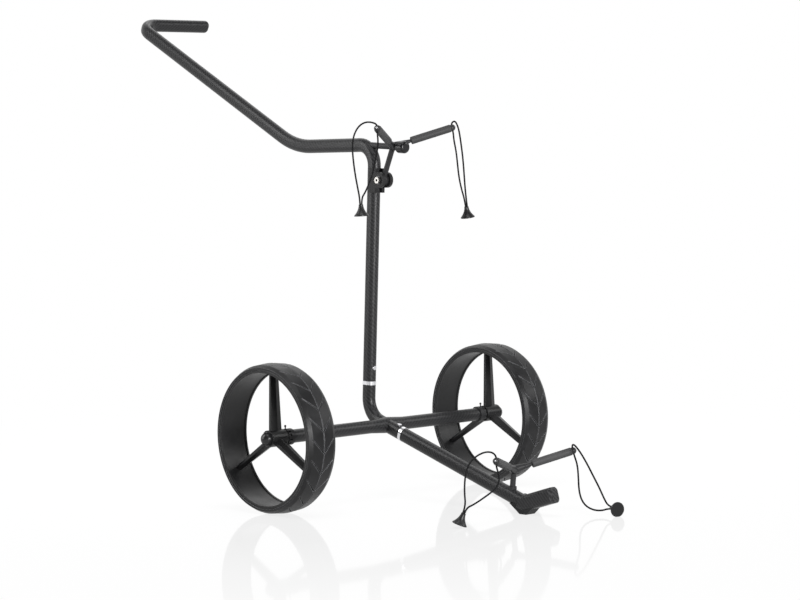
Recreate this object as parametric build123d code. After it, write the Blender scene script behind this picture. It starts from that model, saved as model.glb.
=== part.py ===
from build123d import *
import math
import os

# A two-wheeled golf push trolley that comes apart for transport: a moulded lower frame with the
# axle, a mast and handle that pull off upwards, a front leg that pulls out forwards, two wheels
# on quick-release shafts, and two bag cradles with elastic loops.
# Millimetres. X runs along the axle, the front is -Y, +Z is up. Everything is drawn from the
# middle of the axle and moved at the end, so that the origin is the middle of the trolley's box,
# on the floor.

# Clearances: a running fit, a seat between fixed pieces, and room between moving ones
FIT = 0.05
SEAT = 0.15
ROOM = 0.4

# Carbon tubes: a flat-sided oval for mast, handle and leg, and a round axle
TUBE_HALF_X, TUBE_HALF_N, TUBE_WALL = 11.5, 14.5, 1.8
AXLE_R, AXLE_WALL, AXLE_HALF = 13.5, 2.5, 258.0
JUNCTION_R, JUNCTION_LEN = 16.8, 44.0

# Quick-release shaft, its bush, its housing and its button, from the end of the axle outwards
SHAFT_R, SHAFT_GRIP, SHAFT_TAIL = 5.0, 42.0, 3.0
CLIP_R, CLIP_T = 8.0, 1.2
BUSH_LEN = 52.0
FLANGE_R, FLANGE_LEN = 16.5, 16.0
HOUSING_R, HOUSING_LEN = 13.5, 18.4
FLANGE_SLOTS, SLOT_W, SLOT_DEPTH = 12, 3.6, 2.0
LATCH_REACH, LATCH_WIRE_R, LATCH_GROOVE, LATCH_OVER, LATCH_UNDER = 13.0, 0.8, 1.0, 3.0, 1.0
LATCH_ROOF, BUTTON_ROOF = 3.5, 1.5
BUTTON_STEM_R, BUTTON_BALL_R, BUTTON_STAND = 1.3, 2.3, 8.6
WEDGE_R, WEDGE_TIP_R, WEDGE_LEN = 3.6, 1.5, 4.2

# Wheels, from the housing outwards
HUB_GAP, HUB_R, HUB_LEN = 0.6, 17.0, 39.8
DOME_R, DOME_WALL = 13.9, 2.0
BEARING_R, BEARING_W, BEARING_INSET = 12.5, 8.0, 1.0
TYRE_R, TYRE_W, TYRE_T = 150.0, 68.0, 12.0
TREAD_CROWN, SHOULDER_W, SHOULDER_DROP = 2.5, 8.0, 4.5
GROOVE_COUNT, GROOVE_W, GROOVE_DEPTH, GROOVE_SKEW, CENTRE_GROOVE_W = 22, 2.0, 1.2, 15.0, 2.4
RIM_T, RIM_W, RIM_BEAD, RIM_BEAD_W = 4.0, 66.0, 1.6, 4.0
SPOKE_COUNT = 3
SPOKE_HUB_DEPTH, SPOKE_HUB_THICK = 27.0, 16.0
SPOKE_RIM_DEPTH, SPOKE_RIM_THICK = 18.0, 10.0
SPOKE_EDGE = 0.45

# Mast and handle, in the middle plane
MAST_LOW, ELBOW = Vector(0, 52.6, 55), Vector(0, 13.6, 579)
RISE, GRIP_CORNER = Vector(0, 268, 581), Vector(0, 819, 873)
FRAME_BEND_R, ELBOW_R, RISE_R, GRIP_BEND_R = 48.0, 42.0, 200.0, 50.0
GRIP_END_X, GRIP_CAP_LEN, GRIP_PLUG_LEN, GRIP_ROUND = 200.0, 48.0, 22.0, 9.0

# Mast joint: ring, spigot and snap clip
MAST_RING_Z, RING_W, RING_STAND = 82.0, 7.7, 0.6
SPIGOT_WALL = 2.2
MAST_SPIGOT_IN, MAST_SPIGOT_OUT = 22.0, 80.0
MAST_BUTTON_Z = 118.0
SNAP_R, SNAP_STAND, SNAP_LEAF, SNAP_LEAF_W, SNAP_LEAF_LEN, SNAP_BEND = 4.4, 1.8, 0.8, 7.0, 26.0, 8.0

# Front leg, its joint to the frame, and the shoe on its end, by their distance from the axle
LEG_ANGLE = 17.9
LEG_RING_S, LEG_BUTTON_S = 49.0, 37.0
LEG_SPIGOT_IN, LEG_SPIGOT_OUT = 55.0, 60.0
LEG_END_S, SHOE_BEND_S = 410.0, 421.0
SHOE_W, SHOE_H, SHOE_CORNER_R, SHOE_BEND_R, SHOE_CHAMFER = 27.0, 31.5, 8.5, 14.0, 5.0
SHOE_PLUG_LEN = 45.0
TOE_END = Vector(0, -482, -106)
SOLE_BACK, SOLE_FRONT, SOLE_W = -395.0, -413.0, 24.0
SOLE_HEEL, SOLE_TOE = Vector(0, -367, -130), Vector(0, -435, -131)

# Clevis on the mast's front and the bolt that the upper cradle turns on
PIVOT = Vector(0, -9.3, 506)
CLEVIS_HALF, CLEVIS_LOBE_R, CLEVIS_H, CLEVIS_FRONT = 13.4, 16.0, 50.0, 4.0
EYE_R, EYE_HALF = 10.5, 5.8
BOLT_R, BOLT_HEAD_R, BOLT_HEAD_H, BOLT_TAIL, HEX_R, HEX_DEPTH = 4.0, 6.5, 4.0, 1.0, 2.9, 2.5
WASHER_R, WASHER_T, NUT_R, NUT_H = 8.5, 1.2, 7.5, 5.0
BUSH_WALL = 2.0

# Bag cradles: hub and arm tip of each, the upper one's strut, then the sizes that they share
UPPER_HUB, UPPER_TIP = Vector(0, -42, 574), Vector(100.2, -108.9, 608.5)
STRUT_TAIL, STRUT_NOSE = Vector(0, 38, 579), Vector(0, -82, 571)
LOWER_HUB, LOWER_TIP = Vector(0, -370.4, -66), Vector(103.3, -428.5, -35.5)
LOWER_STEM_S = 382.0
HUB_BALL_R, STEM_R, STRUT_R = 9.5, 5.6, 6.4
ARM_ROOT_R, ARM_R, SLEEVE_SHARE = 9.0, 3.3, 0.31
SLEEVE_R, SLEEVE_ROUND = 7.9, 2.0
TIP_BALL_R, TIP_REACH, CORD_HOLE_R = 7.0, 2.8, 2.4
NOSE_R, NOSE_LEN, NOSE_ROUND, NOSE_PEG_R, NOSE_PEG_LEN = 12.5, 20.0, 6.0, 4.0, 13.0
COLLAR_R, COLLAR_H = 8.2, 4.0

# Elastic loops and their toggles. Each loop is one cord: out of its toggle, through the eye in
# the arm's tip, and back into the toggle.
CORD_R = 1.75
TOGGLE_R, TOGGLE_LIP, TOGGLE_NECK_R, TOGGLE_NECK_LEN, TOGGLE_H = 14.5, 1.8, 4.6, 2.4, 23.0
TOGGLE_WAIST_R, TOGGLE_WAIST_Z = 8.2, 10.0
CORD_ROUTES = {
    "upper_left": [
        (-151, -107, 459), (-151.5, -107, 473), (-158, -108, 497), (-163.5, -108.5, 522), (-167.5, -109, 547),
        (-169.5, -109.5, 570), (-167, -110, 593), (-156, -110.5, 611), (-141, -110.5, 620.5), (-123, -110, 623),
        (-100.4, -109.1, 617.9), (-104.4, -111.7, 600.5), (-102.5, -111.4, 586.5), (-103.5, -111, 571.5),
        (-107, -110, 555), (-112.5, -109.5, 536), (-118.5, -109, 516), (-127.5, -108, 498.5),
        (-137.5, -107.5, 482), (-146, -107, 472.5), (-146.4, -107, 459),
    ],
    "upper_right": [
        (143.3, -107, 447), (141, -107.3, 461), (138, -108, 482), (136, -108.5, 503.5), (134, -109, 528),
        (131, -110, 551), (127.5, -110.5, 572), (124, -111, 591), (120, -111, 609), (112, -110, 624.5),
        (100.4, -109.1, 617.9), (104.4, -111.7, 600.5), (106, -111.3, 584), (112.5, -110.5, 561),
        (116, -110, 534.5), (120, -109, 507.5), (127, -108.5, 482.5), (136, -107.5, 461.5),
        (138.8, -107, 446.3),
    ],
    "lower_left": [
        (-206.9, -440.2, -122.1), (-202.7, -444, -108.2), (-201.5, -440, -84), (-196.5, -437, -57),
        (-186, -434.5, -35), (-164, -433.5, -19.5), (-137, -432, -13.5), (-116, -430.5, -16.5),
        (-103.7, -428.8, -26.1), (-107.7, -431, -43.5), (-102.5, -431.5, -58), (-101, -432.5, -71.5),
        (-109, -434, -83.5), (-124.5, -435, -91.5), (-156.5, -436.5, -103.5), (-180, -439.5, -110),
        (-199.4, -442.6, -113.1), (-202.5, -439.8, -123.3),
    ],
    "lower_right": [
        (83.8, -550.6, -133), (87.9, -537.2, -132.5), (91.5, -524, -120), (92, -511.5, -100), (90, -498, -78),
        (88, -482, -52), (87.5, -465, -31), (91, -446, -18.5), (103.7, -428.8, -26.1), (107.7, -431, -43.5),
        (102, -445, -62), (88, -460, -83), (73, -475, -106), (63.5, -490, -122), (60.5, -505, -133.5),
        (66, -520.5, -140.5), (77, -532, -141.5), (87.9, -537.2, -138.5), (83.8, -550.6, -137.5),
    ],
}

UP = Vector(0, 0, 1)
AXLE = Vector(0, 0, 0)
AXLE_LINE = Axis(AXLE, (1, 0, 0))
SIDEWAYS = Vector(1, 0, 0)
MAST_DIR = (ELBOW - MAST_LOW).normalized()
MAST_FRONT = SIDEWAYS.cross(MAST_DIR)
LEG_DIR = Vector(0, -math.cos(math.radians(LEG_ANGLE)), -math.sin(math.radians(LEG_ANGLE)))
LEG_UP = LEG_DIR.cross(SIDEWAYS)
SLOPE_DIR = (GRIP_CORNER - RISE).normalized()
TUBE_IN_X, TUBE_IN_N = TUBE_HALF_X - TUBE_WALL, TUBE_HALF_N - TUBE_WALL
BORE_R = SHAFT_R + FIT
LATCH_X = AXLE_HALF + LATCH_REACH
LATCH_Y = SHAFT_R - LATCH_GROOVE + LATCH_WIRE_R + FIT
HUB_IN = AXLE_HALF + HOUSING_LEN + HUB_GAP
HUB_OUT = HUB_IN + HUB_LEN
BEARING_OUT = HUB_OUT - BEARING_INSET
WHEEL_X = (HUB_IN + HUB_OUT) / 2
RIM_OUT_R = TYRE_R - TYRE_T
RIM_IN_R = RIM_OUT_R - RIM_T
FLOOR = -TYRE_R


def mast_at(height):
    """Point of the mast's axis at a height above the axle."""
    return MAST_LOW + (ELBOW - MAST_LOW) * ((height - MAST_LOW.Z) / (ELBOW.Z - MAST_LOW.Z))


def leg_at(reach):
    """Point of the leg's axis at a distance from the axle."""
    return AXLE + LEG_DIR * reach


def across(point, direction):
    """Plane square to a direction of the middle plane, with its x along the axle."""
    return Plane(origin=point, x_dir=(1, 0, 0), z_dir=direction)


def oval(half_x, half_n):
    """Flat-sided oval that is longer in the middle plane than across it."""
    return SlotOverall(2 * half_n, 2 * half_x, rotation=90)


def oval_bar(start, end, half_x, half_n):
    """Straight oval bar between two points of the middle plane."""
    return extrude(across(start, end - start) * oval(half_x, half_n), amount=(end - start).length)


def swept_oval(path, half_x, half_n):
    """Oval section carried along a path that starts in the middle plane."""
    return sweep(across(path @ 0, path % 0) * oval(half_x, half_n), path=path)


def rod(start, end, start_r, end_r):
    """Round bar between two points, straight or tapered."""
    length = (end - start).length
    plane = Plane(origin=start, z_dir=end - start)
    bottom = (Align.CENTER, Align.CENTER, Align.MIN)
    if start_r == end_r:
        return plane * Cylinder(start_r, length, align=bottom)
    return plane * Cone(start_r, end_r, length, align=bottom)


def disc(x_low, x_high, radius, hole=0.0, centre=AXLE):
    """Disc or ring about an axis along X."""
    low, high = Vector(x_low, centre.Y, centre.Z), Vector(x_high, centre.Y, centre.Z)
    ring = rod(low, high, radius, radius)
    return ring - rod(low, high, hole, hole) if hole else ring


def turned(points_x_r):
    """Solid of revolution about the axle line from its outline in X and radius."""
    outline = Polyline(*[(x, 0, r) for x, r in points_x_r], close=True)
    return revolve(make_face(outline), AXLE_LINE, 360)


def snap_hole(button, button_dir):
    """Hole through one wall of a tube for a snap button."""
    return rod(button, button + button_dir * 2 * TUBE_HALF_N, SNAP_R + SEAT, SNAP_R + SEAT)


# Lower frame: mast stub, bend, leg socket and axle in one moulding
def frame_path():
    """Axis of the mast stub, the bend under it and the leg socket."""
    lean = (ELBOW.Y - MAST_LOW.Y) / (ELBOW.Z - MAST_LOW.Z)
    rise = math.tan(math.radians(LEG_ANGLE))
    corner_y = (MAST_LOW.Y - lean * MAST_LOW.Z) / (1 - lean * rise)
    corner = Vector(0, corner_y, corner_y * rise)
    return FilletPolyline(mast_at(MAST_RING_Z), corner, leg_at(LEG_RING_S), radius=[FRAME_BEND_R])


def lower_frame():
    outside = swept_oval(frame_path(), TUBE_HALF_X, TUBE_HALF_N)
    outside += disc(-AXLE_HALF, AXLE_HALF, AXLE_R)
    for side in (-1, 1):
        outside += rod(AXLE, AXLE + SIDEWAYS * side * JUNCTION_LEN, JUNCTION_R, AXLE_R)
    inside = swept_oval(frame_path(), TUBE_IN_X, TUBE_IN_N)
    inside += disc(-AXLE_HALF, AXLE_HALF, AXLE_R - AXLE_WALL)
    return outside - inside - snap_hole(leg_at(LEG_BUTTON_S), LEG_UP)


def joint_ring(start, direction):
    """Steel ring that covers the joint between two tubes."""
    end = start + direction * RING_W
    ring = oval_bar(start, end, TUBE_HALF_X + RING_STAND, TUBE_HALF_N + RING_STAND)
    return ring - oval_bar(start, end, TUBE_IN_X, TUBE_IN_N)


def spigot(start, end, button, button_dir):
    """Oval sleeve inside a tube joint, with the hole that its snap button comes through."""
    half_x, half_n = TUBE_IN_X - FIT, TUBE_IN_N - FIT
    body = oval_bar(start, end, half_x, half_n)
    body -= oval_bar(start, end, half_x - SPIGOT_WALL, half_n - SPIGOT_WALL)
    return body - snap_hole(button, button_dir)


def snap_clip(button, button_dir, along):
    """Hairpin leaf spring that stands inside a spigot, with the snap button on its front leaf."""
    inner_x, inner_n = TUBE_IN_X - FIT - SPIGOT_WALL, TUBE_IN_N - FIT - SPIGOT_WALL
    round_part = math.sqrt(inner_x ** 2 - (SNAP_LEAF_W / 2) ** 2)
    reach = inner_n - inner_x + round_part - SEAT - SNAP_LEAF / 2
    half = SNAP_LEAF_LEN / 2
    width_dir = button_dir.cross(along)
    plane = Plane(origin=button - width_dir * (SNAP_LEAF_W / 2), x_dir=button_dir, z_dir=width_dir)
    leaf = FilletPolyline((reach, half), (reach, -half), (-reach, -half), (-reach, half), radius=SNAP_BEND)
    clip = extrude(plane * trace(leaf, SNAP_LEAF), amount=SNAP_LEAF_W)
    front = button + button_dir * reach
    return clip + rod(front, button + button_dir * (TUBE_HALF_N + SNAP_STAND), SNAP_R, SNAP_R)


# Mast and handle: one bent tube from the mast joint to the grip's end cap
def handle_solid(inset):
    """Outside of the bent tube, or its bore when it is inset by the wall."""
    foot = mast_at(MAST_RING_Z) + MAST_DIR * RING_W
    grip_end = GRIP_CORNER + SIDEWAYS * (GRIP_END_X - GRIP_CAP_LEN)
    bends = [ELBOW_R, RISE_R, GRIP_BEND_R]
    path = FilletPolyline(foot, ELBOW, RISE, GRIP_CORNER, grip_end, radius=bends)
    return swept_oval(path, TUBE_HALF_X - inset, TUBE_HALF_N - inset)


def handle_tube():
    return handle_solid(0) - handle_solid(TUBE_WALL) - snap_hole(mast_at(MAST_BUTTON_Z), MAST_FRONT)


def grip_end_cap():
    seat = Plane(origin=GRIP_CORNER + SIDEWAYS * (GRIP_END_X - GRIP_CAP_LEN), x_dir=SLOPE_DIR, z_dir=SIDEWAYS)
    cap = extrude(seat * oval(TUBE_HALF_X, TUBE_HALF_N), amount=GRIP_CAP_LEN)
    cap = fillet(cap.faces().sort_by(Axis.X)[-1].edges(), GRIP_ROUND)
    return cap + extrude(seat * oval(TUBE_IN_X - SEAT, TUBE_IN_N - SEAT), amount=-GRIP_PLUG_LEN)


# Clevis, bolt and bush
def clevis_bracket():
    """Saddle on the mast's front half with two round ears."""
    mast = mast_at(PIVOT.Z)
    depth = TUBE_HALF_N + CLEVIS_FRONT
    block = across(mast + MAST_FRONT * (depth / 2), MAST_DIR) * Box(2 * CLEVIS_HALF, depth, CLEVIS_H)
    block += disc(-CLEVIS_HALF, CLEVIS_HALF, CLEVIS_LOBE_R, centre=PIVOT)
    bridge = mast.Y - PIVOT.Y
    block += Pos(0, mast.Y - bridge / 2, PIVOT.Z) * Box(2 * CLEVIS_HALF, bridge, 2 * CLEVIS_LOBE_R)
    low, high = mast_at(PIVOT.Z - CLEVIS_H), mast_at(PIVOT.Z + CLEVIS_H)
    block -= oval_bar(low, high, TUBE_HALF_X + SEAT, TUBE_HALF_N + SEAT)
    slot = Box(2 * (EYE_HALF + ROOM), bridge + CLEVIS_LOBE_R, 2 * CLEVIS_H)
    block -= Pos(0, (mast.Y + PIVOT.Y - CLEVIS_LOBE_R) / 2, PIVOT.Z) * slot
    return block - disc(-CLEVIS_HALF, CLEVIS_HALF, BOLT_R + FIT, centre=PIVOT)


def pivot_bolt():
    under_head = -CLEVIS_HALF - WASHER_T
    tail = CLEVIS_HALF + WASHER_T + NUT_H + BOLT_TAIL
    bolt = disc(under_head, tail, BOLT_R, centre=PIVOT)
    bolt += disc(under_head - BOLT_HEAD_H, under_head, BOLT_HEAD_R, centre=PIVOT)
    face = Plane(origin=PIVOT + SIDEWAYS * (under_head - BOLT_HEAD_H), z_dir=SIDEWAYS)
    return bolt - extrude(face * RegularPolygon(HEX_R, 6), amount=HEX_DEPTH)


def pivot_washers():
    edge = CLEVIS_HALF + WASHER_T
    return [
        disc(-edge, -CLEVIS_HALF, WASHER_R, BOLT_R + FIT, PIVOT),
        disc(CLEVIS_HALF, edge, WASHER_R, BOLT_R + FIT, PIVOT),
    ]


def pivot_nut():
    plane = Plane(origin=PIVOT + SIDEWAYS * (CLEVIS_HALF + WASHER_T), z_dir=SIDEWAYS)
    hexagon = RegularPolygon(NUT_R, 6) - Circle(BOLT_R + FIT)
    return extrude(plane * hexagon, amount=NUT_H)


def pivot_bush():
    return disc(-EYE_HALF, EYE_HALF, BOLT_R + BUSH_WALL, BOLT_R + FIT, PIVOT)


# Bag cradles: a casting with a stem and two arms, and the soft pieces on it
def mirrored(point):
    return Vector(-point.X, point.Y, point.Z)


def sleeve_root(hub, tip):
    """Point of an arm where its sleeve starts."""
    return hub + (tip - hub) * SLEEVE_SHARE


def cradle_casting(hub, tip, foot):
    """Hub, stem and two arms, which thin down to the rods inside the sleeves."""
    casting = Pos(hub) * Sphere(HUB_BALL_R) + rod(foot, hub, STEM_R, STEM_R)
    for end in (tip, mirrored(tip)):
        root = sleeve_root(hub, end)
        casting += rod(hub, root, ARM_ROOT_R, ARM_R) + rod(root, end, ARM_R, ARM_R)
    return casting


def arm_sleeve(hub, tip):
    root = sleeve_root(hub, tip)
    sleeve = rod(root, tip, SLEEVE_R, SLEEVE_R)
    sleeve = fillet(sleeve.edges().filter_by(GeomType.CIRCLE), SLEEVE_ROUND)
    return sleeve - rod(root, tip, ARM_R + SEAT, ARM_R + SEAT)


def arm_tip(hub, tip):
    """Ball on an arm's end, flat against the sleeve, with the cord's eye upright through it."""
    along = (tip - hub).normalized()
    centre = tip + along * TIP_REACH
    upright = (UP - along * along.dot(UP)).normalized() * 2 * TIP_BALL_R
    ball = Pos(centre) * Sphere(TIP_BALL_R)
    ball -= rod(tip - along * 2 * TIP_BALL_R, tip, 2 * TIP_BALL_R, 2 * TIP_BALL_R)
    return ball - rod(centre - upright, centre + upright, CORD_HOLE_R, CORD_HOLE_R)


def nose_start():
    forward = (STRUT_NOSE - STRUT_TAIL).normalized()
    return STRUT_NOSE - forward * NOSE_LEN, forward


def upper_yoke():
    """Casting with a strut that stops against the elbow at its tail and carries the nose pad on a peg."""
    yoke = cradle_casting(UPPER_HUB, UPPER_TIP, PIVOT)
    start, forward = nose_start()
    yoke += rod(STRUT_TAIL, start, STRUT_R, STRUT_R)
    yoke += rod(start, start + forward * NOSE_PEG_LEN, NOSE_PEG_R, NOSE_PEG_R)
    yoke += disc(-EYE_HALF, EYE_HALF, EYE_R, centre=PIVOT)
    yoke -= disc(-EYE_HALF, EYE_HALF, BOLT_R + BUSH_WALL + FIT, centre=PIVOT)
    return yoke - handle_solid(-ROOM)


def upper_nose_pad():
    start, forward = nose_start()
    pad = rod(start, STRUT_NOSE, NOSE_R, NOSE_R)
    pad = fillet(pad.edges().filter_by(GeomType.CIRCLE).sort_by(Axis.Y)[0], NOSE_ROUND)
    return pad - rod(start, start + forward * (NOSE_PEG_LEN + SEAT), NOSE_PEG_R + SEAT, NOSE_PEG_R + SEAT)


def leg_outside():
    return oval_bar(leg_at(0), leg_at(LEG_END_S), TUBE_HALF_X + SEAT, TUBE_HALF_N + SEAT)


def lower_yoke():
    return cradle_casting(LOWER_HUB, LOWER_TIP, leg_at(LOWER_STEM_S)) - leg_outside()


def lower_yoke_collar():
    foot = leg_at(LOWER_STEM_S)
    top = foot + (LOWER_HUB - foot).normalized() * (TUBE_HALF_N + COLLAR_H)
    collar = rod(foot, top, COLLAR_R, COLLAR_R) - rod(foot, top, STEM_R + SEAT, STEM_R + SEAT)
    return collar - leg_outside()


# Front leg, shoe and sole
def leg_tube():
    start, end = leg_at(LEG_RING_S + RING_W), leg_at(LEG_END_S)
    return oval_bar(start, end, TUBE_HALF_X, TUBE_HALF_N) - oval_bar(start, end, TUBE_IN_X, TUBE_IN_N)


def shoe_outside(grow):
    path = FilletPolyline(leg_at(LEG_END_S), leg_at(SHOE_BEND_S), TOE_END, radius=[SHOE_BEND_R])
    section = RectangleRounded(SHOE_W + 2 * grow, SHOE_H + 2 * grow, SHOE_CORNER_R)
    return sweep(across(path @ 0, path % 0) * section, path=path)


def foot_shoe():
    shoe = shoe_outside(0)
    shoe = chamfer(shoe.faces().sort_by(Axis.Y)[0].edges(), SHOE_CHAMFER)
    plug = leg_at(LEG_END_S - SHOE_PLUG_LEN)
    return shoe + oval_bar(plug, leg_at(LEG_END_S), TUBE_IN_X - SEAT, TUBE_IN_N - SEAT)


def foot_sole():
    """Wedge under the shoe: its flat bottom is what the trolley stands on."""
    outline = Polyline(SOLE_HEEL, (0, SOLE_BACK, FLOOR), (0, SOLE_FRONT, FLOOR), SOLE_TOE, close=True)
    wedge = extrude(make_face(outline), amount=SOLE_W / 2, both=True)
    wedge -= shoe_outside(SEAT) + leg_outside()
    return wedge.solids().sort_by(Axis.Z)[0]


# Wheel and quick release, drawn for the +X side
def tread_groove(side):
    """One slanted groove from the middle of the tread over its shoulder, as the solid to cut away."""
    low_r = TYRE_R - TREAD_CROWN - GROOVE_DEPTH
    half = TYRE_W / 2
    turn = math.radians(GROOVE_SKEW)
    start = Vector(WHEEL_X, 0, TYRE_R)
    end = Vector(WHEEL_X + side * (half + GROOVE_W), TYRE_R * math.sin(turn), TYRE_R * math.cos(turn))
    middle_turn = turn / 2
    outwards = Vector(0, math.sin(middle_turn), math.cos(middle_turn))
    plane = Plane(origin=(start + end) / 2, x_dir=end - start, z_dir=outwards)
    blade = plane * Box((end - start).length, GROOVE_W, 2 * TYRE_T)
    return blade & disc(WHEEL_X - TYRE_W, WHEEL_X + TYRE_W, TYRE_R + TYRE_T, low_r)


def tyre():
    half = TYRE_W / 2
    edge_r = TYRE_R - TREAD_CROWN
    centre = CENTRE_GROOVE_W / 2
    bottom_r = RIM_OUT_R + SEAT
    profile = [
        (-half, bottom_r), (-half, edge_r - SHOULDER_DROP), (SHOULDER_W - half, edge_r), (-centre, TYRE_R),
        (0, TYRE_R - GROOVE_DEPTH), (centre, TYRE_R), (half - SHOULDER_W, edge_r),
        (half, edge_r - SHOULDER_DROP), (half, bottom_r),
    ]
    body = turned([(WHEEL_X + x, r) for x, r in profile])
    grooves = []
    for side in (-1, 1):
        groove = tread_groove(side)
        grooves += [groove.rotate(AXLE_LINE, 360 / GROOVE_COUNT * index) for index in range(GROOVE_COUNT)]
    return body - grooves


def rim():
    """Barrel with a bead along each edge of its inside."""
    half = RIM_W / 2
    bead_r, bead = RIM_IN_R - RIM_BEAD, half - RIM_BEAD_W
    profile = [
        (-half, RIM_OUT_R), (half, RIM_OUT_R), (half, bead_r), (bead, bead_r), (bead, RIM_IN_R),
        (-bead, RIM_IN_R), (-bead, bead_r), (-half, bead_r),
    ]
    return turned([(WHEEL_X + x, r) for x, r in profile])


def blade_section(depth, thick):
    """Blade with blunt edges and a ridge along the middle of both faces."""
    edge = SPOKE_EDGE * thick / 2
    side = [(-depth / 2, -edge), (0, -thick / 2), (depth / 2, -edge)]
    return Polygon(*side, *[(-x, -y) for x, y in side], align=None)


def spoke():
    """One blade from the hub up to the rim."""
    root = Plane(origin=(WHEEL_X, 0, BEARING_R), x_dir=(1, 0, 0), z_dir=UP)
    tip = Plane(origin=(WHEEL_X, 0, TYRE_R), x_dir=(1, 0, 0), z_dir=UP)
    root_face = root * blade_section(SPOKE_HUB_DEPTH, SPOKE_HUB_THICK)
    tip_face = tip * blade_section(SPOKE_RIM_DEPTH, SPOKE_RIM_THICK)
    blade = loft([root_face, tip_face])
    return blade & disc(WHEEL_X - TYRE_W, WHEEL_X + TYRE_W, RIM_IN_R)


def wheel_spokes():
    hub = disc(HUB_IN, HUB_OUT, HUB_R)
    for index in range(SPOKE_COUNT):
        hub += spoke().rotate(AXLE_LINE, 360 / SPOKE_COUNT * index)
    return hub - disc(HUB_IN, HUB_OUT, BEARING_R)


def bearings():
    inner = HUB_IN + ROOM
    return [
        disc(inner, inner + BEARING_W, BEARING_R - FIT, BORE_R),
        disc(BEARING_OUT - BEARING_W, BEARING_OUT, BEARING_R - FIT, BORE_R),
    ]


def hub_cap():
    shell = Pos(HUB_OUT, 0, 0) * (Sphere(DOME_R) - Sphere(DOME_R - DOME_WALL))
    return shell & disc(HUB_OUT, HUB_OUT + DOME_R, DOME_R)


def stub_shaft():
    shaft = disc(AXLE_HALF - SHAFT_GRIP, HUB_OUT + SHAFT_TAIL, SHAFT_R)
    half = LATCH_WIRE_R + SEAT
    return shaft - disc(LATCH_X - half, LATCH_X + half, SHAFT_R, SHAFT_R - LATCH_GROOVE)


def shaft_clip():
    start = BEARING_OUT + ROOM
    return disc(start, start + CLIP_T, CLIP_R, SHAFT_R + FIT)


def axle_bush():
    return disc(AXLE_HALF - BUSH_LEN, AXLE_HALF, AXLE_R - AXLE_WALL - SEAT, BORE_R)


def release_housing():
    """Moulded end of the axle: a slotted flange, and a sleeve with the latch's slot and the button's hole."""
    body = disc(AXLE_HALF, AXLE_HALF + FLANGE_LEN, FLANGE_R)
    body += disc(AXLE_HALF, AXLE_HALF + HOUSING_LEN, HOUSING_R)
    for index in range(FLANGE_SLOTS):
        slot = Pos(AXLE_HALF + FLANGE_LEN, 0, FLANGE_R) * Box(FLANGE_LEN, SLOT_W, 2 * SLOT_DEPTH)
        body -= slot.rotate(AXLE_LINE, 360 / FLANGE_SLOTS * (index + 0.5))
    body -= disc(AXLE_HALF, AXLE_HALF + HOUSING_LEN, BORE_R)
    slot_y = LATCH_Y + LATCH_WIRE_R + ROOM
    slot_z = HOUSING_R - LATCH_ROOF
    body -= Pos(LATCH_X, 0, 0) * Box(2 * (LATCH_WIRE_R + SEAT), 2 * slot_y, 2 * slot_z)
    well = SIDEWAYS * LATCH_X
    body -= rod(well, well + UP * (HOUSING_R - BUTTON_ROOF), WEDGE_R + ROOM, WEDGE_R + ROOM)
    return body - rod(well, well + UP * 2 * HOUSING_R, BUTTON_STEM_R + FIT, BUTTON_STEM_R + FIT)


def latch_spring():
    """Hairpin wire that lies in the shaft's groove and holds the wheel on."""
    low, high = LATCH_UNDER - SHAFT_R - LATCH_Y, SHAFT_R + LATCH_OVER
    path = FilletPolyline(
        (LATCH_X, -LATCH_Y, high), (LATCH_X, -LATCH_Y, low), (LATCH_X, LATCH_Y, low), (LATCH_X, LATCH_Y, high),
        radius=LATCH_Y - SEAT
    )
    return sweep(Plane(origin=path @ 0, z_dir=path % 0) * Circle(LATCH_WIRE_R), path=path)


def release_button():
    """Ball on a stem, with the wedge under it that spreads the latch."""
    top = Vector(LATCH_X, 0, HOUSING_R - BUTTON_ROOF - SEAT)
    ball = top + UP * (BUTTON_STAND + BUTTON_ROOF)
    button = rod(top - UP * WEDGE_LEN, top, WEDGE_TIP_R, WEDGE_R)
    button += rod(top, ball, BUTTON_STEM_R, BUTTON_STEM_R)
    return button + Pos(ball) * Sphere(BUTTON_BALL_R)


# Elastic loops and toggles
def cord_tube(points):
    """Round cord along straight runs that are joined by arcs as large as the runs allow."""
    runs = [b - a for a, b in zip(points, points[1:])]
    radii = []
    for before, after in zip(runs, runs[1:]):
        half_turn = math.radians(before.get_angle(after)) / 2
        radii.append(0.45 * min(before.length, after.length) / math.tan(half_turn))
    path = FilletPolyline(*points, radius=radii)
    return sweep(Plane(origin=path @ 0, z_dir=path % 0) * Circle(CORD_R), path=path)


def toggle(points):
    """Trumpet-shaped rubber toggle whose neck ends where the cord's two ends come out."""
    neck_z = TOGGLE_H - TOGGLE_NECK_LEN
    side = ThreePointArc((TOGGLE_R, TOGGLE_LIP), (TOGGLE_WAIST_R, TOGGLE_WAIST_Z), (TOGGLE_NECK_R, neck_z))
    rest = Polyline(side @ 1, (TOGGLE_NECK_R, TOGGLE_H), (0, TOGGLE_H), (0, 0), (TOGGLE_R, 0), side @ 0)
    body = revolve(Plane.XZ * make_face(Curve() + [side, rest]), Axis.Z, 360)
    axis = (points[1] - points[0]).normalized()
    return Plane(origin=(points[0] + points[-1]) / 2 - axis * TOGGLE_H, z_dir=axis) * body


nodes = {}
loose = {}

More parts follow.
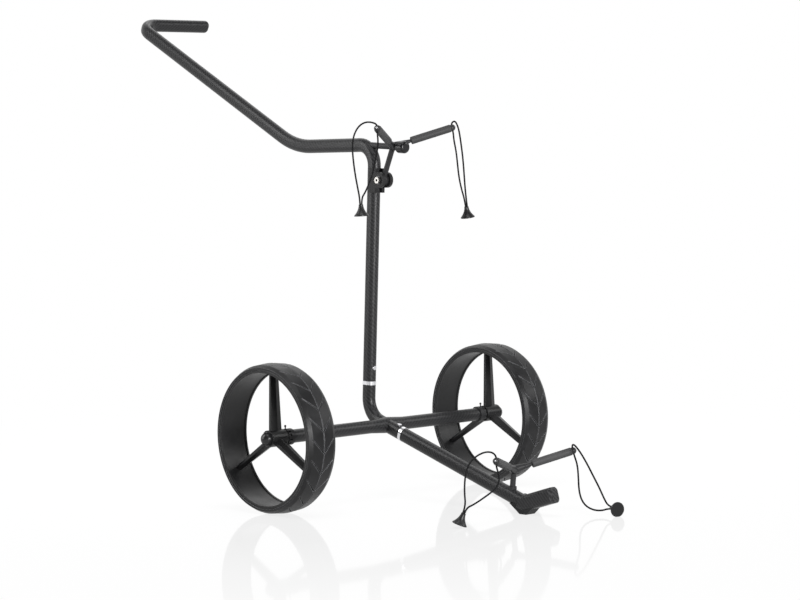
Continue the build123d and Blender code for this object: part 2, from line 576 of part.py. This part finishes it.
nodes["lower_frame"] = lower_frame()
nodes["mast_joint_ring"] = joint_ring(mast_at(MAST_RING_Z), MAST_DIR)
nodes["leg_joint_ring"] = joint_ring(leg_at(LEG_RING_S), LEG_DIR)
nodes["mast_spigot"] = spigot(
    mast_at(MAST_RING_Z) - MAST_DIR * MAST_SPIGOT_IN, mast_at(MAST_RING_Z) + MAST_DIR * MAST_SPIGOT_OUT,
    mast_at(MAST_BUTTON_Z), MAST_FRONT
)
nodes["mast_snap_clip"] = snap_clip(mast_at(MAST_BUTTON_Z), MAST_FRONT, MAST_DIR)
nodes["handle_tube"] = handle_tube()
nodes["grip_end_cap"] = grip_end_cap()
nodes["clevis_bracket"] = clevis_bracket()
nodes["pivot_bolt"] = pivot_bolt()
nodes["pivot_washers"] = Compound(pivot_washers())
nodes["pivot_nut"] = pivot_nut()
nodes["pivot_bush"] = pivot_bush()
nodes["leg_spigot"] = spigot(
    leg_at(LEG_RING_S - LEG_SPIGOT_IN), leg_at(LEG_RING_S + RING_W + LEG_SPIGOT_OUT),
    leg_at(LEG_BUTTON_S), LEG_UP
)
nodes["leg_snap_clip"] = snap_clip(leg_at(LEG_BUTTON_S), LEG_UP, LEG_DIR)
nodes["leg_tube"] = leg_tube()
nodes["foot_shoe"] = foot_shoe()
nodes["foot_sole"] = foot_sole()
nodes["upper_yoke"] = upper_yoke()
nodes["upper_nose_pad"] = upper_nose_pad()
nodes["lower_yoke"] = lower_yoke()
nodes["lower_yoke_collar"] = lower_yoke_collar()
for level, hub, tip in (("upper", UPPER_HUB, UPPER_TIP), ("lower", LOWER_HUB, LOWER_TIP)):
    for side, end in (("left", mirrored(tip)), ("right", tip)):
        nodes[f"{level}_sleeve_{side}"] = arm_sleeve(hub, end)
        nodes[f"{level}_tip_{side}"] = arm_tip(hub, end)
        route = [Vector(*point) for point in CORD_ROUTES[f"{level}_{side}"]]
        loose[f"{level}_cord_{side}"] = cord_tube(route)
        loose[f"{level}_toggle_{side}"] = toggle(route)

wheel_pieces = {
    "tyre": tyre(), "rim": rim(), "spokes": wheel_spokes(), "bearings": Compound(bearings()),
    "hub_cap": hub_cap(), "stub_shaft": stub_shaft(), "shaft_clip": shaft_clip(), "axle_bush": axle_bush(),
    "release_housing": release_housing(), "latch_spring": latch_spring(), "release_button": release_button(),
}
for name, piece in wheel_pieces.items():
    nodes[f"right_{name}"] = piece
    nodes[f"left_{name}"] = mirror(piece, about=Plane.YZ)

box = Compound(list(nodes.values())).bounding_box()
home = Pos(0, -(box.min.Y + box.max.Y) / 2, -FLOOR)
print(f"axle stands at Y {home.position.Y:.3f}, Z {home.position.Z:.3f}; box {box.size}")

os.makedirs("parts", exist_ok=True)
for name, piece in {**nodes, **loose}.items():
    export_step(home * piece, f"parts/{name}.step")
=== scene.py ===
import bmesh
import bpy
import math
from mathutils import Matrix, Vector


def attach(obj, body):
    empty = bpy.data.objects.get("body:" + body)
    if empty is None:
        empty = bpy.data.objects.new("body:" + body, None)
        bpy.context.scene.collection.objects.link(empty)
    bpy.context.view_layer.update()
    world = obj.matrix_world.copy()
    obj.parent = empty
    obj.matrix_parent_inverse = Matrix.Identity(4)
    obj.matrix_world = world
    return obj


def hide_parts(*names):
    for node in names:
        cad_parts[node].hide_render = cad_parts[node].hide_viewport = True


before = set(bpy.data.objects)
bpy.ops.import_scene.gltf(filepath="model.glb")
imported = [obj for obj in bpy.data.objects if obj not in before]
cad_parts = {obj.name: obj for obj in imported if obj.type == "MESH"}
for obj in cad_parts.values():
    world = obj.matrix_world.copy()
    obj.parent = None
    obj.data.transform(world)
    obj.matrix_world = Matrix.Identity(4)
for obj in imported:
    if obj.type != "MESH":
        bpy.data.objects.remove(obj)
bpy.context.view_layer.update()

# The studio: a glossy white floor that fades into a white surround, lit by soft boxes.
# The part mirrors a white sweep behind it and a dark room in front; the low boxes leave out the floor.
# The camera stands low and far off in front of the left wheel, with a long lens.
AXLE = Vector((0.0, -0.173467, 0.150))
CAMERA_PLACE = Vector((-3.387, -3.787, 0.5245))
CAMERA_AZIMUTH = math.radians(-42.197)
CAMERA_ELEVATION = math.radians(3.003)
CAMERA_ROLL = math.radians(-1.478)
CAMERA_LENS = 111.02
WHITE = (1, 1, 1, 1)
FLOOR_SIZE, FLOOR_COLOUR = 30.0, (0.90, 0.90, 0.90, 1)
FLOOR_ROUGHNESS, FLOOR_SPECULAR, FLOOR_OWN_LIGHT = 0.05, 0.45, 0.35
FLOOR_GLOW_NEAR, FLOOR_FADE_START, FLOOR_FADE_END = 0.70, 0.7, 1.9
SURROUND_LIGHT, ROOM_MIRRORED = 0.12, 0.12
SWEEP_SIDE, SWEEP_EDGE, SWEEP_FULL = (0.67, 0.74, 0), 0.0, 0.5
BOX_AIM = AXLE + Vector((0, 0.1, 0.25))
# Name, place from the axle, size, power, and whether it lights the floor
SOFT_BOXES = (
    ("overhead_box", (-0.6, -0.6, 2.8), (1.6, 1.6), 26.0, True),
    ("left_box", (-1.9, 1.5, 1.35), (0.9, 2.4), 42.0, False),
    ("front_box", (-0.7, -2.5, 0.55), (0.8, 1.1), 75.0, False),
    ("right_box", (2.1, -2.0, 1.5), (1.0, 1.4), 22.0, False),
    ("back_box", (2.0, 2.2, 2.8), (2.4, 1.4), 10.0, True),
)


def new_material(name, colour, roughness):
    """Node material with its shader's plain numbers set, as (material, tree, shader)."""
    material = bpy.data.materials.new(name)
    material.use_nodes = True
    shader = material.node_tree.nodes["Principled BSDF"]
    shader.inputs["Base Color"].default_value = colour
    shader.inputs["Roughness"].default_value = roughness
    return material, material.node_tree, shader


def node(tree, kind, **values):
    """New shader node with its properties set."""
    made = tree.nodes.new(kind)
    for key, value in values.items():
        setattr(made, key, value)
    return made


def feed(tree, made, *values):
    """Feeds a node's inputs in their order, from sockets or plain values."""
    for socket, value in zip(made.inputs, values):
        if isinstance(value, bpy.types.NodeSocket):
            tree.links.new(value, socket)
        else:
            socket.default_value = value


def maths(tree, operation, *values):
    """Result of a Math node."""
    made = node(tree, "ShaderNodeMath", operation=operation)
    feed(tree, made, *values)
    return made.outputs[0]


def vector_maths(tree, operation, *values):
    """Result of a Vector Math node, a number for a length or a dot product and else a vector."""
    made = node(tree, "ShaderNodeVectorMath", operation=operation)
    feed(tree, made, *values)
    return made.outputs["Value" if operation in ("LENGTH", "DOT_PRODUCT") else "Vector"]


def spread(tree, value, low, high, to_low, to_high):
    """Maps a value from one range to another, held at both ends."""
    made = node(tree, "ShaderNodeMapRange")
    feed(tree, made, value, low, high, to_low, to_high)
    return made.outputs[0]


def directly_seen(tree):
    """1 for rays that the camera sees straight, mirrored or through glass, else 0."""
    rays = node(tree, "ShaderNodeLightPath")
    straight, mirrored, through = (
        rays.outputs[f"Is {kind} Ray"] for kind in ("Camera", "Glossy", "Transmission")
    )
    return maths(tree, "MAXIMUM", straight, maths(tree, "MAXIMUM", mirrored, through))


back = Vector((
    math.sin(CAMERA_AZIMUTH) * math.cos(CAMERA_ELEVATION),
    -math.cos(CAMERA_AZIMUTH) * math.cos(CAMERA_ELEVATION),
    math.sin(CAMERA_ELEVATION),
))
level_right = Vector((0, 0, 1)).cross(back).normalized()
level_up = back.cross(level_right)
right = level_right * math.cos(CAMERA_ROLL) + level_up * math.sin(CAMERA_ROLL)
up = back.cross(right)
camera = bpy.data.objects.new("camera", bpy.data.cameras.new("camera"))
camera.data.lens = CAMERA_LENS
camera.location = AXLE + CAMERA_PLACE
camera.rotation_euler = Matrix((right, up, back)).transposed().to_euler()
bpy.context.scene.collection.objects.link(camera)
bpy.context.scene.camera = camera
bpy.context.scene.view_settings.view_transform = "Standard"

half = FLOOR_SIZE / 2
floor_mesh = bpy.data.meshes.new("studio_floor")
floor_mesh.from_pydata(
    [(-half, -half, 0), (half, -half, 0), (half, half, 0), (-half, half, 0)], [], [(0, 1, 2, 3)]
)
floor = bpy.data.objects.new("studio_floor", floor_mesh)
bpy.context.scene.collection.objects.link(floor)
material, tree, shader = new_material("studio_floor", FLOOR_COLOUR, FLOOR_ROUGHNESS)
shader.inputs["Specular IOR Level"].default_value = FLOOR_SPECULAR
shader.inputs["Emission Color"].default_value = WHITE
shader.inputs["Emission Strength"].default_value = FLOOR_OWN_LIGHT
reach = vector_maths(tree, "LENGTH", node(tree, "ShaderNodeNewGeometry").outputs["Position"])
glow = spread(tree, reach, FLOOR_FADE_START, FLOOR_FADE_END, FLOOR_GLOW_NEAR, 1)
white = node(tree, "ShaderNodeEmission")
blend = node(tree, "ShaderNodeMixShader")
glow_seen = maths(tree, "MULTIPLY", glow, directly_seen(tree))
feed(tree, blend, glow_seen, shader.outputs[0], white.outputs[0])
tree.links.new(blend.outputs[0], tree.nodes["Material Output"].inputs["Surface"])
floor_mesh.materials.append(material)

world = bpy.data.worlds.new("studio")
world.use_nodes = True
bpy.context.scene.world = world
tree = world.node_tree
direction = node(tree, "ShaderNodeTexCoord").outputs["Generated"]
sweep_share = vector_maths(tree, "DOT_PRODUCT", direction, SWEEP_SIDE)
sweep = spread(tree, sweep_share, SWEEP_EDGE, SWEEP_FULL, ROOM_MIRRORED, 1)
straight = node(tree, "ShaderNodeLightPath").outputs["Is Camera Ray"]
seen = maths(tree, "MULTIPLY", maths(tree, "MAXIMUM", sweep, straight), directly_seen(tree))
feed(tree, tree.nodes["Background"], WHITE, maths(tree, "MAXIMUM", seen, SURROUND_LIGHT))

floor_left_out = bpy.data.collections.new("floor_left_out")
floor_left_out.objects.link(floor)
floor_left_out.collection_objects[0].light_linking.link_state = "EXCLUDE"
for name, offset, size, power, lights_floor in SOFT_BOXES:
    lamp = bpy.data.lights.new(name, "AREA")
    lamp.shape = "RECTANGLE"
    lamp.size, lamp.size_y = size
    lamp.energy = power
    soft_box = bpy.data.objects.new(name, lamp)
    soft_box.location = AXLE + Vector(offset)
    soft_box.rotation_euler = (BOX_AIM - soft_box.location).to_track_quat("-Z", "Y").to_euler()
    bpy.context.scene.collection.objects.link(soft_box)
    if not lights_floor:
        soft_box.light_linking.receiver_collection = floor_left_out


# Lower frame, mast with handle, leg and shoe: thin carbon-fibre walls under a satin clear coat.
# The cloth is a two-by-two twill laid along the tube, so its tows show as fine slanting steps.
TOW_WIDTH, TOW_MIDDLE, TWILL_REPEAT, TWILL_OVER = 0.0022, 0.5, 4, 2
HANDLE_SLOPE, HANDLE_SLOPE_START = math.radians(27.9), 0.0945
LEG_SLOPE, LEG_SLOPE_START = math.radians(17.9), -FLOOR_SIZE
CROSS_RUN_START = 0.020
CARBON_DARK, CARBON_LIGHT = (0.007, 0.007, 0.0075, 1), (0.031, 0.031, 0.0325, 1)
CARBON_ROUGHNESS, CARBON_ROUGHNESS_SWING, CARBON_SPECULAR = 0.34, 0.055, 0.24
OVER_PALER, TOW_BUMP, TOW_HEIGHT = 0.55, 0.3, 0.0003


def dress(material, *names):
    """Gives CAD nodes a material."""
    for name in names:
        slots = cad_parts[name].data.materials
        slots.clear()
        slots.append(material)


def chosen(tree, switch, off, on):
    """The on value where the switch is 1, and the off value where it is 0."""
    made = node(tree, "ShaderNodeMix", data_type="FLOAT")
    for socket, value in ((made.inputs[0], switch), (made.inputs[2], off), (made.inputs[3], on)):
        tree.links.new(value, socket)
    return made.outputs[0]


def shaded(tree, shader, share, low, high):
    """Base colour between two colours."""
    made = node(tree, "ShaderNodeMix", data_type="RGBA")
    made.inputs[6].default_value = low
    made.inputs[7].default_value = high
    tree.links.new(share, made.inputs[0])
    tree.links.new(made.outputs[2], shader.inputs["Base Color"])


def raised(tree, shader, height, strength, distance):
    """Bump from a height in 0 to 1 and the depth that this stands for in metres; gives its node."""
    made = node(tree, "ShaderNodeBump")
    made.inputs["Strength"].default_value = strength
    made.inputs["Distance"].default_value = distance
    tree.links.new(height, made.inputs["Height"])
    tree.links.new(made.outputs[0], shader.inputs["Normal"])
    return made


def cloth_places(tree, slope, slope_start):
    """Places across and along the cloth, from the two axes that the surface faces least.

    Beyond slope_start the axes turn with the sloping run. Their signs follow the side that the
    surface faces, so that the slant of the cloth goes on round the tube.
    """
    coordinates = node(tree, "ShaderNodeTexCoord")
    level = node(tree, "ShaderNodeSeparateXYZ")
    place = node(tree, "ShaderNodeSeparateXYZ")
    facing = node(tree, "ShaderNodeSeparateXYZ")
    tree.links.new(coordinates.outputs["Object"], level.inputs[0])
    turn = maths(tree, "MULTIPLY", maths(tree, "GREATER_THAN", level.outputs[1], slope_start), -slope)
    for source, split in (("Object", place), ("Normal", facing)):
        turned = node(tree, "ShaderNodeVectorRotate", rotation_type="X_AXIS")
        tree.links.new(coordinates.outputs[source], turned.inputs["Vector"])
        tree.links.new(turn, turned.inputs["Angle"])
        tree.links.new(turned.outputs[0], split.inputs[0])
    x, y, z = (place.outputs[i] for i in range(3))
    size_x, size_y, size_z = (maths(tree, "ABSOLUTE", facing.outputs[i]) for i in range(3))
    side_x, side_y, side_z = (maths(tree, "SIGN", facing.outputs[i]) for i in range(3))
    faces_x = maths(tree, "GREATER_THAN", size_x, maths(tree, "MAXIMUM", size_y, size_z))
    faces_z = maths(tree, "GREATER_THAN", size_z, maths(tree, "MAXIMUM", size_x, size_y))
    cross_run = maths(tree, "GREATER_THAN", maths(tree, "ABSOLUTE", x), CROSS_RUN_START)
    slant = spread(tree, cross_run, 0, 1, -1, 1)
    from_front = maths(tree, "MULTIPLY", maths(tree, "MULTIPLY", side_y, slant), x)
    from_side = chosen(tree, faces_x, from_front, maths(tree, "MULTIPLY", side_x, y))
    from_above = maths(tree, "MULTIPLY", maths(tree, "MULTIPLY", side_z, y), -1)
    return chosen(tree, faces_z, from_side, x), chosen(tree, faces_z, z, from_above)


def carbon_twill(name, slope=0.0, slope_start=0.0):
    """Woven cloth: tows step over two and under two, each tow crowned along its middle."""
    material, tree, shader = new_material(name, CARBON_LIGHT, CARBON_ROUGHNESS)
    shader.inputs["Specular IOR Level"].default_value = CARBON_SPECULAR
    across, along = cloth_places(tree, slope, slope_start)
    warp = maths(tree, "DIVIDE", across, TOW_WIDTH)
    weft = maths(tree, "DIVIDE", along, TOW_WIDTH)
    step = maths(tree, "ADD", maths(tree, "FLOOR", warp), maths(tree, "FLOOR", weft))
    in_repeat = maths(tree, "FRACT", maths(tree, "DIVIDE", step, TWILL_REPEAT))
    over = maths(tree, "LESS_THAN", in_repeat, TWILL_OVER / TWILL_REPEAT)
    crown_warp = maths(tree, "PINGPONG", maths(tree, "FRACT", warp), TOW_MIDDLE)
    crown_weft = maths(tree, "PINGPONG", maths(tree, "FRACT", weft), TOW_MIDDLE)
    crown = chosen(tree, over, crown_warp, crown_weft)
    share = maths(tree, "ADD", maths(tree, "MULTIPLY", over, OVER_PALER), crown)
    shaded(tree, shader, share, CARBON_DARK, CARBON_LIGHT)
    glossiest = CARBON_ROUGHNESS - CARBON_ROUGHNESS_SWING
    dullest = CARBON_ROUGHNESS + CARBON_ROUGHNESS_SWING
    tree.links.new(spread(tree, over, 0, 1, glossiest, dullest), shader.inputs["Roughness"])
    raised(tree, shader, crown, TOW_BUMP, TOW_HEIGHT)
    return material


dress(carbon_twill("frame_carbon"), "lower_frame", "foot_shoe")
dress(carbon_twill("handle_carbon", HANDLE_SLOPE, HANDLE_SLOPE_START), "handle_tube", "grip_end_cap")
dress(carbon_twill("leg_carbon", LEG_SLOPE, LEG_SLOPE_START), "leg_tube")


# Joint rings and snap clips: turned and pressed stainless steel, with fine brushing round the tube.
# The rings sit round the tube joints, and each clip stands in a spigot with its button through the wall.
NOISE_LOW, NOISE_HIGH = 0.3, 0.7
BRUSH_LINE, BRUSH_STRETCH, BRUSH_DETAIL = 0.0004, 30.0, 4.0
BRUSH_GLOSSIER, BRUSH_DULLER = 0.75, 1.35
BRUSH_BUMP, BRUSH_DEPTH = 0.1, 0.0001


def own_places(tree):
    """Places in the piece's own coordinates, which stay with it when it moves."""
    return node(tree, "ShaderNodeTexCoord").outputs["Object"]


def noise(tree, places, scale, detail):
    """Noise at the given places, mostly between its low and high values."""
    made = node(tree, "ShaderNodeTexNoise")
    made.inputs["Scale"].default_value = scale
    made.inputs["Detail"].default_value = detail
    tree.links.new(places, made.inputs["Vector"])
    return made.outputs[0]


def brushed(name, colour, roughness):
    """Metal with fine lines across the upright axis."""
    material, tree, shader = new_material(name, colour, roughness)
    shader.inputs["Metallic"].default_value = 1.0
    stretch = node(tree, "ShaderNodeMapping")
    stretch.inputs["Scale"].default_value = (1 / BRUSH_STRETCH, 1 / BRUSH_STRETCH, 1)
    tree.links.new(own_places(tree), stretch.inputs[0])
    lines = noise(tree, stretch.outputs[0], 1 / BRUSH_LINE, BRUSH_DETAIL)
    glossiest, dullest = roughness * BRUSH_GLOSSIER, roughness * BRUSH_DULLER
    gloss = spread(tree, lines, NOISE_LOW, NOISE_HIGH, glossiest, dullest)
    tree.links.new(gloss, shader.inputs["Roughness"])
    raised(tree, shader, lines, BRUSH_BUMP, BRUSH_DEPTH)
    return material


spring_steel = brushed("spring_steel", (0.62, 0.62, 0.64, 1), 0.28)
dress(brushed("ring_steel", (0.76, 0.76, 0.78, 1), 0.20), "mast_joint_ring", "leg_joint_ring")
dress(spring_steel, "mast_snap_clip", "leg_snap_clip")


# Spigots inside the tube joints and bushes inside the axle: turned aluminium.
# They show only when the trolley is taken apart.
dress(brushed("turned_aluminium", (0.66, 0.67, 0.69, 1), 0.34),
      "mast_spigot", "leg_spigot", "left_axle_bush", "right_axle_bush")


# Clevis, sole, release housings and their buttons: black moulded plastic and rubber,
# each with the grain of its mould, patchy gloss, some dust, and edges painted paler: part wear, part
# painted highlight.
GRAIN_DETAIL, GRAIN_BUMP = 3.0, 0.4
PATCHES_PER_METRE, PATCH_DETAIL = 26.0, 5.0
PATCH_GLOSSIER, PATCH_DULLER = 0.07, 0.09
DUST_START, DUST_FULL = 0.45, 0.75
EDGE_TURNED, EDGE_FLAT, EDGE_SAMPLES = 0.75, 0.95, 6
PALER_BY = 0.006


def moulded(name, colour, roughness, grain, depth, gloss=0.20, edge_wear_and_highlight=1.6, edge=0.0008, dust=0.5):
    """Moulded plastic or rubber with a grain of the given size and depth in metres.

    Edges of the given width are painted paler by the factor edge_wear_and_highlight, partly as wear and
    partly as a painted highlight. Dusty patches take on at most the share dust of that paler colour.
    """
    material, tree, shader = new_material(name, colour, roughness)
    shader.inputs["Specular IOR Level"].default_value = gloss
    places = own_places(tree)
    fine = noise(tree, places, 1.0 / grain, GRAIN_DETAIL)
    broad = noise(tree, places, PATCHES_PER_METRE, PATCH_DETAIL)
    glossiest, dullest = roughness - PATCH_GLOSSIER, roughness + PATCH_DULLER
    patches = spread(tree, broad, NOISE_LOW, NOISE_HIGH, glossiest, dullest)
    tree.links.new(patches, shader.inputs["Roughness"])
    rounding = node(tree, "ShaderNodeBevel", samples=EDGE_SAMPLES)
    rounding.inputs["Radius"].default_value = edge
    rounded, sharp = rounding.outputs[0], node(tree, "ShaderNodeNewGeometry").outputs["Normal"]
    agreement = vector_maths(tree, "DOT_PRODUCT", rounded, sharp)
    # Edges are painted paler here: partly wear, partly a painted highlight along them.
    edge_wear_and_highlight_mask = spread(tree, agreement, EDGE_TURNED, EDGE_FLAT, 1, 0)
    dusty = spread(tree, broad, DUST_START, DUST_FULL, 0, dust)
    paler = tuple(min(c * edge_wear_and_highlight + PALER_BY, 1) for c in colour[:3]) + (1,)
    shaded(tree, shader, maths(tree, "MAXIMUM", edge_wear_and_highlight_mask, dusty), colour, paler)
    bump = raised(tree, shader, fine, GRAIN_BUMP, depth)
    tree.links.new(rounded, bump.inputs["Normal"])
    return material


clevis_plastic = moulded(
    "clevis_plastic", (0.012, 0.012, 0.0125, 1), roughness=0.48, grain=0.0006, depth=0.0001,
)
sole_rubber = moulded(
    "sole_rubber", (0.010, 0.010, 0.0105, 1), roughness=0.52, grain=0.0010, depth=0.0002, edge_wear_and_highlight=2.4,
)
housing_plastic = moulded(
    "housing_plastic", (0.020, 0.020, 0.021, 1), roughness=0.42, grain=0.0006, depth=0.0001,
)
button_plastic = moulded(
    "button_plastic", (0.008, 0.008, 0.008, 1), roughness=0.22, grain=0.0012, depth=0.00005, gloss=0.5,
)
dress(clevis_plastic, "clevis_bracket")
dress(sole_rubber, "foot_sole")
dress(housing_plastic, "left_release_housing", "right_release_housing")
dress(button_plastic, "left_release_button", "right_release_button")


# Pivot bolt: stainless steel, with painted shade in its socket. Its washers and nut are blackened steel.
# The bush in the cradle's eye is pale brass.
PIVOT, SOCKET_R = AXLE + Vector((0, -0.0093, 0.506)), 0.0027
STAINLESS, SOCKET_SHADE = (0.40, 0.39, 0.37, 1), (0.03, 0.03, 0.03, 1)
dress(brushed("blackened_steel", (0.07, 0.07, 0.072, 1), 0.32), "pivot_washers", "pivot_nut")
bolt_steel = brushed("bolt_stainless", STAINLESS, 0.30)
tree = bolt_steel.node_tree
from_axis = vector_maths(tree, "MULTIPLY_ADD", own_places(tree), (0, 1, 1), (0, -PIVOT.y, -PIVOT.z))
# The socket's recess is painted dark: painted shade.
in_socket = maths(tree, "LESS_THAN", vector_maths(tree, "LENGTH", from_axis), SOCKET_R)
shaded(tree, tree.nodes["Principled BSDF"], in_socket, STAINLESS, SOCKET_SHADE)
dress(bolt_steel, "pivot_bolt")
dress(brushed("bush_brass", (0.80, 0.66, 0.40, 1), 0.24), "pivot_bush")


# Bag cradles: cast aluminium under matt black powder coat, with rubber sleeves on the arms,
# a rubber nose on the upper strut, moulded tips, and a bright rivet in the end of each tip.
RIVET_R, RIVET_H, TIP_REACH = 0.0019, 0.0008, 0.0095
RIVET_SEGMENTS, RIVET_RINGS = 20, 12
# Body that each cradle rides on, and its hub and right arm's tip from the axle
CRADLES = {
    "upper": ("upper_cradle", Vector((0, -0.042, 0.574)), Vector((0.1002, -0.1089, 0.6085))),
    "lower": ("leg", Vector((0, -0.3704, -0.066)), Vector((0.1033, -0.4285, -0.0355))),
}
powder_coat = moulded(
    "powder_coat", (0.020, 0.020, 0.021, 1), roughness=0.40, grain=0.0005, depth=0.00012,
)
sleeve_rubber = moulded(
    "sleeve_rubber", (0.042, 0.042, 0.043, 1), roughness=0.55, grain=0.0007, depth=0.00025,
)
pad_rubber = moulded(
    "pad_rubber", (0.007, 0.007, 0.0075, 1), roughness=0.30, grain=0.0008, depth=0.0001,
    gloss=0.32, edge_wear_and_highlight=1.1,
)
tip_plastic = moulded(
    "tip_plastic", (0.020, 0.020, 0.021, 1), roughness=0.34, grain=0.0006, depth=0.00008,
)
dress(powder_coat, "upper_yoke", "lower_yoke", "lower_yoke_collar")
dress(pad_rubber, "upper_nose_pad")
for level, (body, hub, tip) in CRADLES.items():
    for side, sign in (("left", -1), ("right", 1)):
        dress(sleeve_rubber, f"{level}_sleeve_{side}")
        dress(tip_plastic, f"{level}_tip_{side}")
        dress(pad_rubber, f"{level}_toggle_{side}")
        along = (tip - hub).normalized()
        end = tip + along * TIP_REACH
        place = AXLE + Vector((sign * end.x, end.y, end.z))
        outwards = Vector((sign * along.x, along.y, along.z)).to_track_quat("Z", "Y")
        stand = Matrix.LocRotScale(place, outwards, Vector((RIVET_R, RIVET_R, RIVET_H)))
        mesh = bpy.data.meshes.new(f"{level}_rivet_{side}")
        dome = bmesh.new()
        bmesh.ops.create_uvsphere(dome, u_segments=RIVET_SEGMENTS, v_segments=RIVET_RINGS, radius=1.0)
        bmesh.ops.transform(dome, matrix=stand, verts=dome.verts)
        dome.to_mesh(mesh)
        dome.free()
        mesh.shade_smooth()
        mesh.materials.append(spring_steel)
        rivet = bpy.data.objects.new(mesh.name, mesh)
        bpy.context.scene.collection.objects.link(rivet)
        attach(rivet, body)


# Wheels: rubber tyres on a moulded rim with three blade spokes and a glossy hub cap,
# turning on sealed bearings on a ground steel shaft that a hairpin latch holds.
WHEEL_BLACK = (0.009, 0.009, 0.0095, 1)
# The tyre's edges are painted much paler: a painted highlight along the lips of the tread grooves.
tyre_rubber = moulded(
    "tyre_rubber", WHEEL_BLACK, roughness=0.38, grain=0.0011, depth=0.0002,
    gloss=0.22, edge_wear_and_highlight=16.0, edge=0.0024, dust=0.05,
)
rim_plastic = moulded(
    "rim_plastic", WHEEL_BLACK, roughness=0.34, grain=0.0007, depth=0.0001, gloss=0.25, edge=0.0020,
)
spoke_plastic = moulded(
    "spoke_plastic", WHEEL_BLACK, roughness=0.32, grain=0.0007, depth=0.0001, gloss=0.25, edge=0.0015,
)
cap_gloss = moulded(
    "hub_cap_gloss", (0.008, 0.008, 0.0085, 1), roughness=0.26, grain=0.0010, depth=0.00003, gloss=0.4,
)
shaft_steel = brushed("shaft_steel", (0.60, 0.60, 0.62, 1), 0.20)
for side in ("left", "right"):
    dress(tyre_rubber, f"{side}_tyre")
    dress(rim_plastic, f"{side}_rim")
    dress(spoke_plastic, f"{side}_spokes")
    dress(cap_gloss, f"{side}_hub_cap")
    dress(shaft_steel, f"{side}_stub_shaft", f"{side}_bearings")
    dress(spring_steel, f"{side}_shaft_clip", f"{side}_latch_spring")


# Elastic loops: round black rubber cord in a woven cover, from a toggle through the arm's tip and back.
# The points are given from the middle of the axle.
CORD_DIAMETER = 0.0035
CORD_ROUND_STEPS, CORD_LENGTH_STEPS, CORD_ORDER = 3, 8, 3
CORD_ROUTES = {
    "upper_left": (
        (-0.151, -0.107, 0.459), (-0.1515, -0.107, 0.473), (-0.158, -0.108, 0.497),
        (-0.1635, -0.1085, 0.522), (-0.1675, -0.109, 0.547), (-0.1695, -0.1095, 0.57),
        (-0.167, -0.11, 0.593), (-0.156, -0.1105, 0.611), (-0.141, -0.1105, 0.6205), (-0.123, -0.11, 0.623),
        (-0.1004, -0.1091, 0.6179), (-0.1044, -0.1117, 0.6005), (-0.1025, -0.1114, 0.5865),
        (-0.1035, -0.111, 0.5715), (-0.107, -0.11, 0.555), (-0.1125, -0.1095, 0.536),
        (-0.1185, -0.109, 0.516), (-0.1275, -0.108, 0.4985), (-0.1375, -0.1075, 0.482),
        (-0.146, -0.107, 0.4725), (-0.1464, -0.107, 0.459),
    ),
    "upper_right": (
        (0.1433, -0.107, 0.447), (0.141, -0.1073, 0.461), (0.138, -0.108, 0.482), (0.136, -0.1085, 0.5035),
        (0.134, -0.109, 0.528), (0.131, -0.11, 0.551), (0.1275, -0.1105, 0.572), (0.124, -0.111, 0.591),
        (0.12, -0.111, 0.609), (0.112, -0.11, 0.6245), (0.1004, -0.1091, 0.6179), (0.1044, -0.1117, 0.6005),
        (0.106, -0.1113, 0.584), (0.1125, -0.1105, 0.561), (0.116, -0.11, 0.5345), (0.12, -0.109, 0.5075),
        (0.127, -0.1085, 0.4825), (0.136, -0.1075, 0.4615), (0.1388, -0.107, 0.4463),
    ),
    "lower_left": (
        (-0.2069, -0.4402, -0.1221), (-0.2027, -0.444, -0.1082), (-0.2015, -0.44, -0.084),
        (-0.1965, -0.437, -0.057), (-0.186, -0.4345, -0.035), (-0.164, -0.4335, -0.0195),
        (-0.137, -0.432, -0.0135), (-0.116, -0.4305, -0.0165), (-0.1037, -0.4288, -0.0261),
        (-0.1077, -0.431, -0.0435), (-0.1025, -0.4315, -0.058), (-0.101, -0.4325, -0.0715),
        (-0.109, -0.434, -0.0835), (-0.1245, -0.435, -0.0915), (-0.1565, -0.4365, -0.1035),
        (-0.18, -0.4395, -0.11), (-0.1994, -0.4426, -0.1131), (-0.2025, -0.4398, -0.1233),
    ),
    "lower_right": (
        (0.0838, -0.5506, -0.133), (0.0879, -0.5372, -0.1325), (0.0915, -0.524, -0.12),
        (0.092, -0.5115, -0.1), (0.09, -0.498, -0.078), (0.088, -0.482, -0.052), (0.0875, -0.465, -0.031),
        (0.091, -0.446, -0.0185), (0.1037, -0.4288, -0.0261), (0.1077, -0.431, -0.0435),
        (0.102, -0.445, -0.062), (0.088, -0.46, -0.083), (0.073, -0.475, -0.106), (0.0635, -0.49, -0.122),
        (0.0605, -0.505, -0.1335), (0.066, -0.5205, -0.1405), (0.077, -0.532, -0.1415),
        (0.0879, -0.5372, -0.1385), (0.0838, -0.5506, -0.1375),
    ),
}
cord_cover = moulded(
    "cord_cover", (0.004, 0.004, 0.0045, 1), roughness=0.60, grain=0.0006, depth=0.0002, gloss=0.10,
)
for corner, route in CORD_ROUTES.items():
    level, side = corner.split("_")
    points = [AXLE + Vector(point) for point in route]
    curve = bpy.data.curves.new(f"{level}_elastic_{side}", "CURVE")
    curve.dimensions = "3D"
    curve.bevel_depth = CORD_DIAMETER / 2
    curve.bevel_resolution = CORD_ROUND_STEPS
    curve.resolution_u = CORD_LENGTH_STEPS
    curve.use_fill_caps = True
    spline = curve.splines.new("NURBS")
    spline.points.add(len(points) - 1)
    for spline_point, place in zip(spline.points, points):
        spline_point.co = (*place, 1)
    spline.order_u = CORD_ORDER
    spline.use_endpoint_u = True
    curve.materials.append(cord_cover)
    loop = bpy.data.objects.new(curve.name, curve)
    bpy.context.scene.collection.objects.link(loop)
    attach(loop, CRADLES[level][0])
    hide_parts(f"{level}_cord_{side}")
